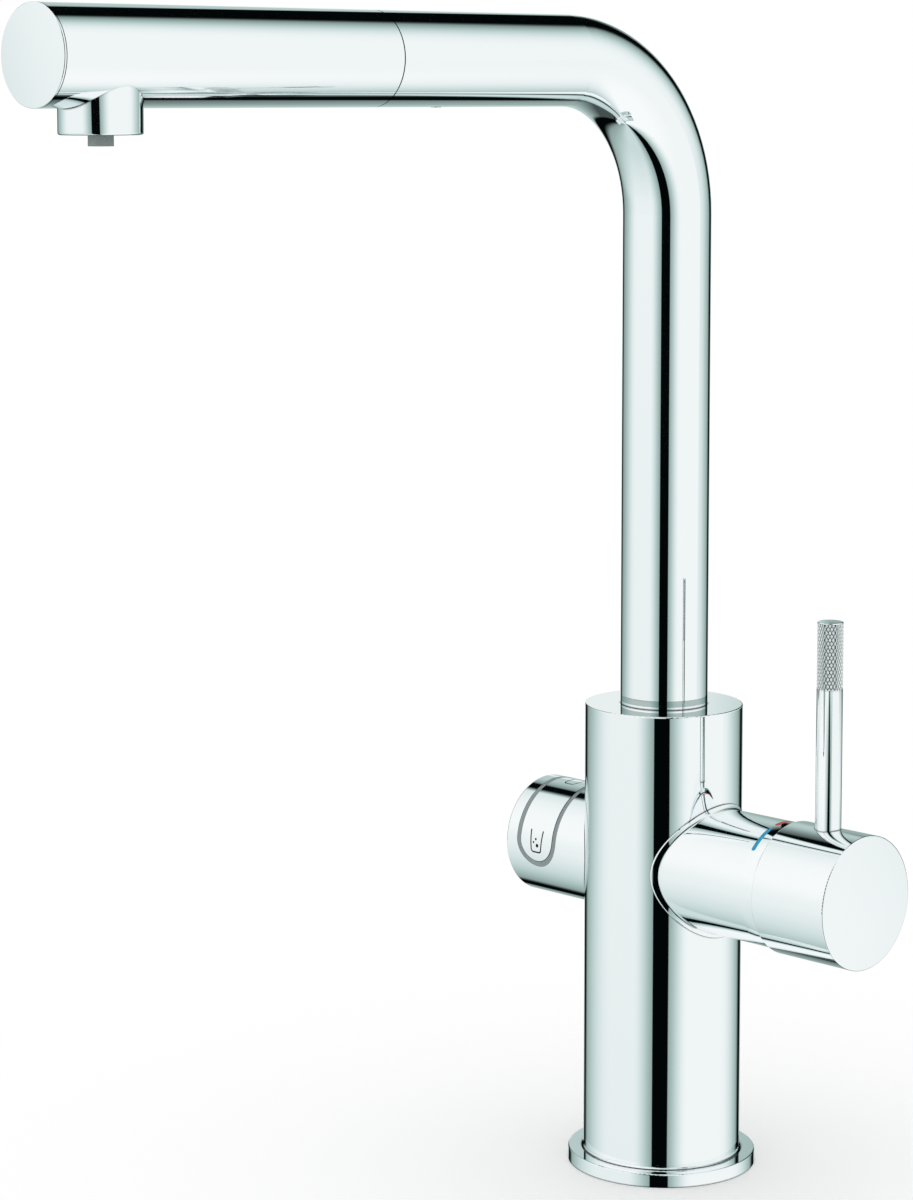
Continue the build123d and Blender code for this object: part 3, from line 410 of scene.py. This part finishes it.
def knurledRod(plan):
    # The rod is turned about its own axis: each point is the radius at its height along the rod, at its
    # angle. In the grip two families of V grooves wind round it: a groove's middle is where its phase,
    # diamonds x turn fraction +- height / diamond length, is a whole number. The radius drops by the deeper
    # of the two, and the drop falls to nothing halfway between two grooves, which leaves a pointed diamond
    # between four of them
    low, high = (np.array(corner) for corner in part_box("lever_rod"))
    centre = (low + high) / 2
    radius = (high[0] - low[0]) / 2
    around = plan["diamondsRound"] * plan["steps"]
    diamond = plan["diamondLength"] * mm
    gripFoot = high[2] - plan["gripLength"] * mm
    gripTop = high[2] - plan["endRound"] * mm
    gripRows = np.arange(gripFoot, gripTop, diamond / plan["steps"])
    arc = np.linspace(0, pi / 2, plan["endSteps"])
    topRows = gripTop + plan["endRound"] * mm * np.sin(arc)
    stemRows = [low[2], low[2], low[2] + plan["footRow"] * mm, gripFoot - plan["gripLead"] * mm]
    height = np.concatenate([stemRows, gripRows, topRows, [high[2]]])
    profile = np.full(len(height), radius)
    profile[0] = 0
    profile[-1 - len(topRows):-1] = radius - plan["endRound"] * mm * (1 - np.cos(arc))
    profile[-1] = 0
    rows, turns = np.meshgrid(height, np.arange(around) / around, indexing="ij")
    wound = (rows - gripFoot) / diamond
    phases = (plan["diamondsRound"] * turns + wound, plan["diamondsRound"] * turns - wound)
    tooth = np.maximum(*(np.abs(phase % 1 - 0.5) for phase in phases)) * 2
    smallest = 1e-7           # metres: the row at the grip's top itself stays smooth
    inGrip = (rows >= gripFoot) & (rows < gripTop - smallest)
    depth = np.where(inGrip, tooth, 0)
    radii = profile[:, None] - depth * plan["grooveDepth"] * mm
    points = np.stack([centre[0] + radii * np.cos(2 * pi * turns),
                       centre[1] + radii * np.sin(2 * pi * turns), rows], -1)
    faces = ringFaces(len(height), around)
    return meshObject("lever_rod_knurled", points, faces, np.stack([depth, turns], -1))


def knurledChrome(name, chrome, plan):
    # the rod's chrome with painted shade at the bottom of the knurl's grooves, which draws the net of fine
    # lines round its diamonds. The depth comes from the mesh: u is 0 on the round rod and 1 in a groove's
    # bottom
    material = chrome.copy()
    material.name = name
    tree = material.node_tree
    shader = tree.nodes["Principled BSDF"]
    plain = shader.inputs["Base Color"].links[0].from_socket
    along = addNode(tree, "ShaderNodeUVMap", uv_map="along").outputs["UV"]
    u = addNode(tree, "ShaderNodeSeparateXYZ", {"Vector": along}).outputs["X"]
    deep = ramped(tree, u, *plan["grooveShade"])
    tree.links.new(colourMix(tree, deep, plain, toLinear(plan["grooveShadeColour"])), shader.inputs["Base Color"])
    return material


# the two hoses that come out of the spout with the spray head
hosePlan = {
    "around": 36,
    "stepAlong": 1.5,
    "bendRadius": 46.5,       # the spout's bend, at the middle of the tube
    "wall": 1.6,
    "innerWall": 0.8,
    "followFrom": 50.0,       # in front of the riser: from here the hose goes over from spout to spray head
    "followTo": 100.0,
}


def hoseTube(name, node, wall, plan):
    # A tube carried along the way up the riser, round the bend and out along the arm. Its middle is a
    # straight line, a quarter circle and a straight line; each point is the middle plus radius x (cos t
    # sideways + sin t across the bend). The rows run out along the outside and back along the bore, so both
    # ends close
    low, high = (np.array(corner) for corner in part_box(node))
    radius = (high[0] - low[0]) / 2
    bend, step = plan["bendRadius"] * mm, plan["stepAlong"] * mm
    armHeight = high[2] - radius
    climb = np.arange(low[2], armHeight - bend, step)
    turn = np.linspace(0, pi / 2, int(bend * pi / 2 / step))
    reach = np.append(np.arange(-bend, low[1], -step)[1:], low[1])
    y = np.concatenate([0 * climb, bend * np.cos(turn) - bend, reach])
    z = np.concatenate([climb, armHeight - bend + bend * np.sin(turn), 0 * reach + armHeight])
    angle = np.concatenate([0 * climb, turn, 0 * reach + pi / 2])
    middle = np.stack([0 * y, y, z], -1)
    across = np.stack([0 * y, np.cos(angle), np.sin(angle)], -1)
    out = np.concatenate([np.arange(len(y)), np.arange(len(y))[::-1], [0]])
    size = np.concatenate([np.full(len(y), radius), np.full(len(y), radius - wall * mm), [radius]])
    t = np.arange(plan["around"]) / plan["around"] * 2 * pi
    side = np.array([1.0, 0, 0])
    ring = np.cos(t)[None, :, None] * side + np.sin(t)[None, :, None] * across[out][:, None, :]
    points = middle[out][:, None, :] + size[:, None, None] * ring
    rows = len(out) - 1
    faces = ringFaces(rows + 1, plan["around"]) % (rows * plan["around"])
    piece = meshObject(name, points[:rows], faces)
    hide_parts(node)
    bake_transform(piece)
    return piece, armHeight


dressNodes()
rod = knurledRod(rodPlan)
rodFinish = knurledChrome("polished chrome with a cut knurl", finishes["chrome_plated_brass"], rodPlan)
rod.data.materials.append(rodFinish)
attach(rod, "mixer_lever")
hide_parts("lever_rod")
print("lever rod: faces", len(rod.data.polygons))

outerHose, armHeight = hoseTube("pull_out_hose_braided", "pull_out_hose", hosePlan["wall"], hosePlan)
outerHose.data.materials.append(braidedNylon("braided nylon over the hose", braidPlan, armHeight))
innerHose = hoseTube("filtered_hose_tube", "filtered_hose", hosePlan["innerWall"], hosePlan)[0]
innerHose.data.materials.append(finishes["clear_polyethylene_tube"])
print("hoses: faces", len(outerHose.data.polygons), len(innerHose.data.polygons))


# Angles are degrees: from the slot's middle round to either side, and up from level, with down negative. A
# pair of angles is where a step starts and ends
studioPlan = {
    "cameraAngle": 46.3,      # the camera stands this far round from the front, towards the mixer
    "slotCentre": -6.7,       # from the camera's direction, plus is its right
    "slotHalf": 11.3,         # half the width of the dark slot that the camera looks through
    "slotSoft": 0.6,
    "sideSoft": 0.2,          # radians, over which the left wall's levels go over into the right one's
    "nearLevel": 0.26,        # of the walls beside the slot
    "wallFrom": 40.0,         # here a wall has its full level
    "leftAngles": (-60, -13, 20),
    "leftLevel": (0.72, 0.905, 0.99),
    "rightAngles": (-60, -20),
    "rightLevel": (1.03, 0.95),
    "leftFall": (78.0, 200.0),    # over which a wall grows dark
    "rightFall": (98.0, 185.0, 166.0),    # its start, and its end at each of the fallAngles
    "fallAngles": (0, 40),
    "openUp": 0.6,            # how much of the left wall's fall is missing high up
    "openAngles": (5, 45),
    "dipLevel": 0.2,          # a fainter band just below eye level on the far part of each wall
    "dipMiddle": -5.0,
    "dipWidth": (2, 11),
    "dipLeft": (88.0, 130.0),
    "dipRight": (92.0, 126.0),
    "gapSoft": 6.0,           # of the dark gaps between the side walls and the backdrop
    "gapLeft": (146.5, 139.0),    # where they start, at each of the next two angles
    "gapLeftAngles": (22, 44),
    "gapRight": (150.0, 145.0),
    "gapRightAngles": (-15, 0),
    "backSoft": 2.0,
    "backLeft": (163.5, 157.0),   # the backdrop's left edge, at each of the next two angles
    "backLeftAngles": (20, 42),
    "backRight": 167.5,
    "backLevel": (0.08, 0.62, 0.88, 0.6),
    "backAngles": ((-50, -15), (2, 9), (12, 16)),    # over which it goes from one level to the next
    "backGrey": 0.42,         # level of the backdrop's right part
    "backStep": (-0.6, 2.6),  # left of the slot's opposite, where that goes over into the white part
    "roof": (26.0, 52.0),     # here the backdrop's white part goes over into the unlit roof
    "roofRight": (10.0, 26.0),
    "skylight": 0.85,         # a soft light straight above
    "skyAngles": (62, 76),
    # darker parts of the tent are a little greener, as daylight through its cloth
    "tints": ((0.0, "#030607"), (0.533, "#acc2be"), (0.75, "#d3e1e0"), (1.0, "#ffffff")),
}


def sideWalls(tree, plan, away, up, right):
    # Level of the two side walls: dim beside the slot, full at wallFrom, and darker again towards the gap
    # before the backdrop
    low, level, high = plan["leftLevel"]
    foot, knee, top = plan["leftAngles"]
    leftLevel = maths(tree, "ADD", ramped(tree, up, foot, knee, low, level, smooth=False),
                      ramped(tree, up, knee, top, 0, high - level))
    rightLevel = ramped(tree, up, *plan["rightAngles"], *plan["rightLevel"], smooth=False)
    fullLevel = mixed(tree, right, leftLevel, rightLevel)
    wall = mixed(tree, ramped(tree, away, 0, plan["wallFrom"]), plan["nearLevel"], fullLevel)

    fallFrom = mixed(tree, right, plan["leftFall"][0], plan["rightFall"][0])
    rightTo = ramped(tree, up, *plan["fallAngles"], *plan["rightFall"][1:])
    fallTo = mixed(tree, right, plan["leftFall"][1], rightTo)
    opened = product(tree, ramped(tree, up, *plan["openAngles"], 0, plan["openUp"]), rest(tree, right))
    fall = product(tree, ramped(tree, away, fallFrom, fallTo), rest(tree, opened))

    dipFrom, dipTo = (mixed(tree, right, *ends) for ends in zip(plan["dipLeft"], plan["dipRight"]))
    fromMiddle = maths(tree, "ABSOLUTE", maths(tree, "SUBTRACT", up, plan["dipMiddle"]))
    band = product(tree, ramped(tree, fromMiddle, *plan["dipWidth"], 1, 0),
                   ramped(tree, away, dipFrom, dipTo, 0, plan["dipLevel"]))

    slot = edged(tree, away, plan["slotHalf"], plan["slotSoft"])
    gap = mixed(tree, right, ramped(tree, up, *plan["gapLeftAngles"], *plan["gapLeft"]),
                ramped(tree, up, *plan["gapRightAngles"], *plan["gapRight"]))
    lit = edged(tree, away, gap, plan["gapSoft"], 1, 0)
    return product(tree, wall, rest(tree, fall), rest(tree, band), slot, lit)


def backdrop(tree, plan, away, up, right, opposite):
    # Level of the backdrop behind the tap, grey in its right part, between its two edges and below the roof
    low, level, high, shelf = plan["backLevel"]
    lower, middle, upper = plan["backAngles"]
    white = maths(tree, "ADD", ramped(tree, up, *lower, low, level, smooth=False),
                  ramped(tree, up, *middle, 0, high - level))
    white = maths(tree, "MINIMUM", white, ramped(tree, up, *upper, high, shelf))
    whitePart = ramped(tree, opposite, *(radians(angle) for angle in plan["backStep"]))
    greyed = mixed(tree, whitePart, maths(tree, "MINIMUM", white, plan["backGrey"]), white)
    edge = mixed(tree, right, ramped(tree, up, *plan["backLeftAngles"], *plan["backLeft"]), plan["backRight"])
    roofFrom, roofTo = (mixed(tree, whitePart, *ends) for ends in zip(plan["roofRight"], plan["roof"]))
    return product(tree, greyed, edged(tree, away, edge, plan["backSoft"]),
                   ramped(tree, up, roofFrom, roofTo, 1, 0))


def tinted(tree, level, tints):
    # the colour of a level of the tent; the ramp has its two end stops from the start
    ramp = addNode(tree, "ShaderNodeValToRGB", {"Fac": level})
    stops = ramp.color_ramp.elements
    first, *between, last = tints
    for stop, (position, colour) in zip((stops[0], stops[1]), (first, last)):
        stop.position = position
        stop.color = toLinear(colour)
    for position, colour in between:
        stops.new(position).color = toLinear(colour)
    return ramp.outputs["Color"]


def studioWorld(plan):
    # A white tent with an unlit slot for the camera, seen in the metal only. To the camera's eye and as light
    # on dull surfaces it is plain white. The level at a direction is worked out from its angle round from the
    # slot and its angle up, with smooth steps from one wall to the next
    world = bpy.data.worlds.new("white tent")
    scene.world = world
    world.use_nodes = True
    tree = world.node_tree
    tree.nodes.clear()
    direction = addNode(tree, "ShaderNodeTexCoord").outputs["Generated"]
    heading = radians(90 - plan["cameraAngle"] - plan["slotCentre"])
    turned = addNode(tree, "ShaderNodeMapping", {"Vector": direction, "Rotation": (0, 0, heading)}).outputs[0]
    x, y, z = addNode(tree, "ShaderNodeSeparateXYZ", {"Vector": turned}).outputs
    side = maths(tree, "ARCTAN2", y, x)
    away = maths(tree, "MULTIPLY", maths(tree, "ABSOLUTE", side), 180 / pi)
    up = maths(tree, "MULTIPLY", maths(tree, "ARCSINE", z), 180 / pi)
    right = edged(tree, side, 0.0, plan["sideSoft"])
    opposite = maths(tree, "ARCTAN2", maths(tree, "MULTIPLY", y, -1.0), maths(tree, "MULTIPLY", x, -1.0))

    level = maths(tree, "ADD", sideWalls(tree, plan, away, up, right),
                  backdrop(tree, plan, away, up, right, opposite))
    level = maths(tree, "MAXIMUM", level, ramped(tree, up, *plan["skyAngles"], 0, plan["skylight"]))
    white = addNode(tree, "ShaderNodeBackground", {"Color": (1, 1, 1, 1), "Strength": 1.0})
    tentColour = tinted(tree, level, plan["tints"])
    tent = addNode(tree, "ShaderNodeBackground", {"Color": tentColour, "Strength": 1.0})
    path = addNode(tree, "ShaderNodeLightPath")
    inMetal = maths(tree, "MAXIMUM", path.outputs["Is Glossy Ray"], path.outputs["Is Transmission Ray"])
    either = addNode(tree, "ShaderNodeMixShader", {0: inMetal, 1: white.outputs[0], 2: tent.outputs[0]})
    addNode(tree, "ShaderNodeOutputWorld", {"Surface": either.outputs[0]})
    print("studio: tent in place")


floorPlan = {
    "half": 3000.0,
    "drop": 0.05,             # below the tap's foot
    "fadeFrom": 60.0,
    "fadeTo": 260.0,
    "colour": "#ffffff",
    "roughness": 0.9,
}


def paleFloor(plan):
    # A flat sheet under the tap. It takes the tap's soft shadow, and further out it goes over into the white
    # of the backdrop for the camera
    half = plan["half"] * mm
    corners = np.array([[-half, -half, 0], [half, -half, 0], [half, half, 0], [-half, half, 0]])
    floor = meshObject("studio_floor", corners - [0, 0, plan["drop"] * mm], np.array([[0, 1, 2, 3]]))
    material, tree, shader = newMaterial("white painted board")
    place = ownCoordinates(tree)
    distance = addNode(tree, "ShaderNodeVectorMath", {0: place}, operation="LENGTH").outputs["Value"]
    far = ramped(tree, distance, plan["fadeFrom"] * mm, plan["fadeTo"] * mm)
    shader.inputs["Base Color"].default_value = toLinear(plan["colour"])
    shader.inputs["Roughness"].default_value = plan["roughness"]
    shader.inputs["Specular IOR Level"].default_value = 0.0
    white = addNode(tree, "ShaderNodeEmission", {"Color": (1, 1, 1, 1), "Strength": 1.0})
    seen = maths(tree, "MULTIPLY", far, addNode(tree, "ShaderNodeLightPath").outputs["Is Camera Ray"])
    either = addNode(tree, "ShaderNodeMixShader", {0: seen, 1: shader.outputs[0], 2: white.outputs[0]})
    tree.links.new(either.outputs[0], tree.nodes["Material Output"].inputs["Surface"])
    floor.data.materials.append(material)
    floor.visible_glossy = False
    print("studio: floor in place")


cameraPlan = {
    "place": (672.0, -741.9, 335.5),
    "turn": 45.883,           # degrees round from the front
    "pitch": 5.81,            # degrees down; the lens shift covers the rest
    "shift": -0.1474,
    "focalPixels": 3240.9,
    "imageSize": (913, 1200),
    "sensorWidth": 36.0,
    "clipStart": 10.0,
}


def photoCamera(plan):
    # A long lens at a little under the spout's height. The photograph has upright verticals, from a shifted
    # lens; part of that shift is taken as a slight downward look, so that other views stay centred
    lens = bpy.data.cameras.new("photo camera")
    lens.sensor_fit = "AUTO"
    lens.sensor_width = plan["sensorWidth"]
    lens.lens = plan["focalPixels"] * lens.sensor_width / max(plan["imageSize"])
    lens.shift_y = plan["shift"]
    lens.clip_start = plan["clipStart"] * mm
    camera = bpy.data.objects.new("photo camera", lens)
    scene.collection.objects.link(camera)
    camera.location = Vector(plan["place"]) * mm
    camera.rotation_euler = (pi / 2 - radians(plan["pitch"]), 0, radians(plan["turn"]))
    scene.camera = camera
    print("camera: lens", round(lens.lens, 2), "mm")


studioWorld(studioPlan)
paleFloor(floorPlan)
photoCamera(cameraPlan)
scene.view_settings.view_transform = "Standard"
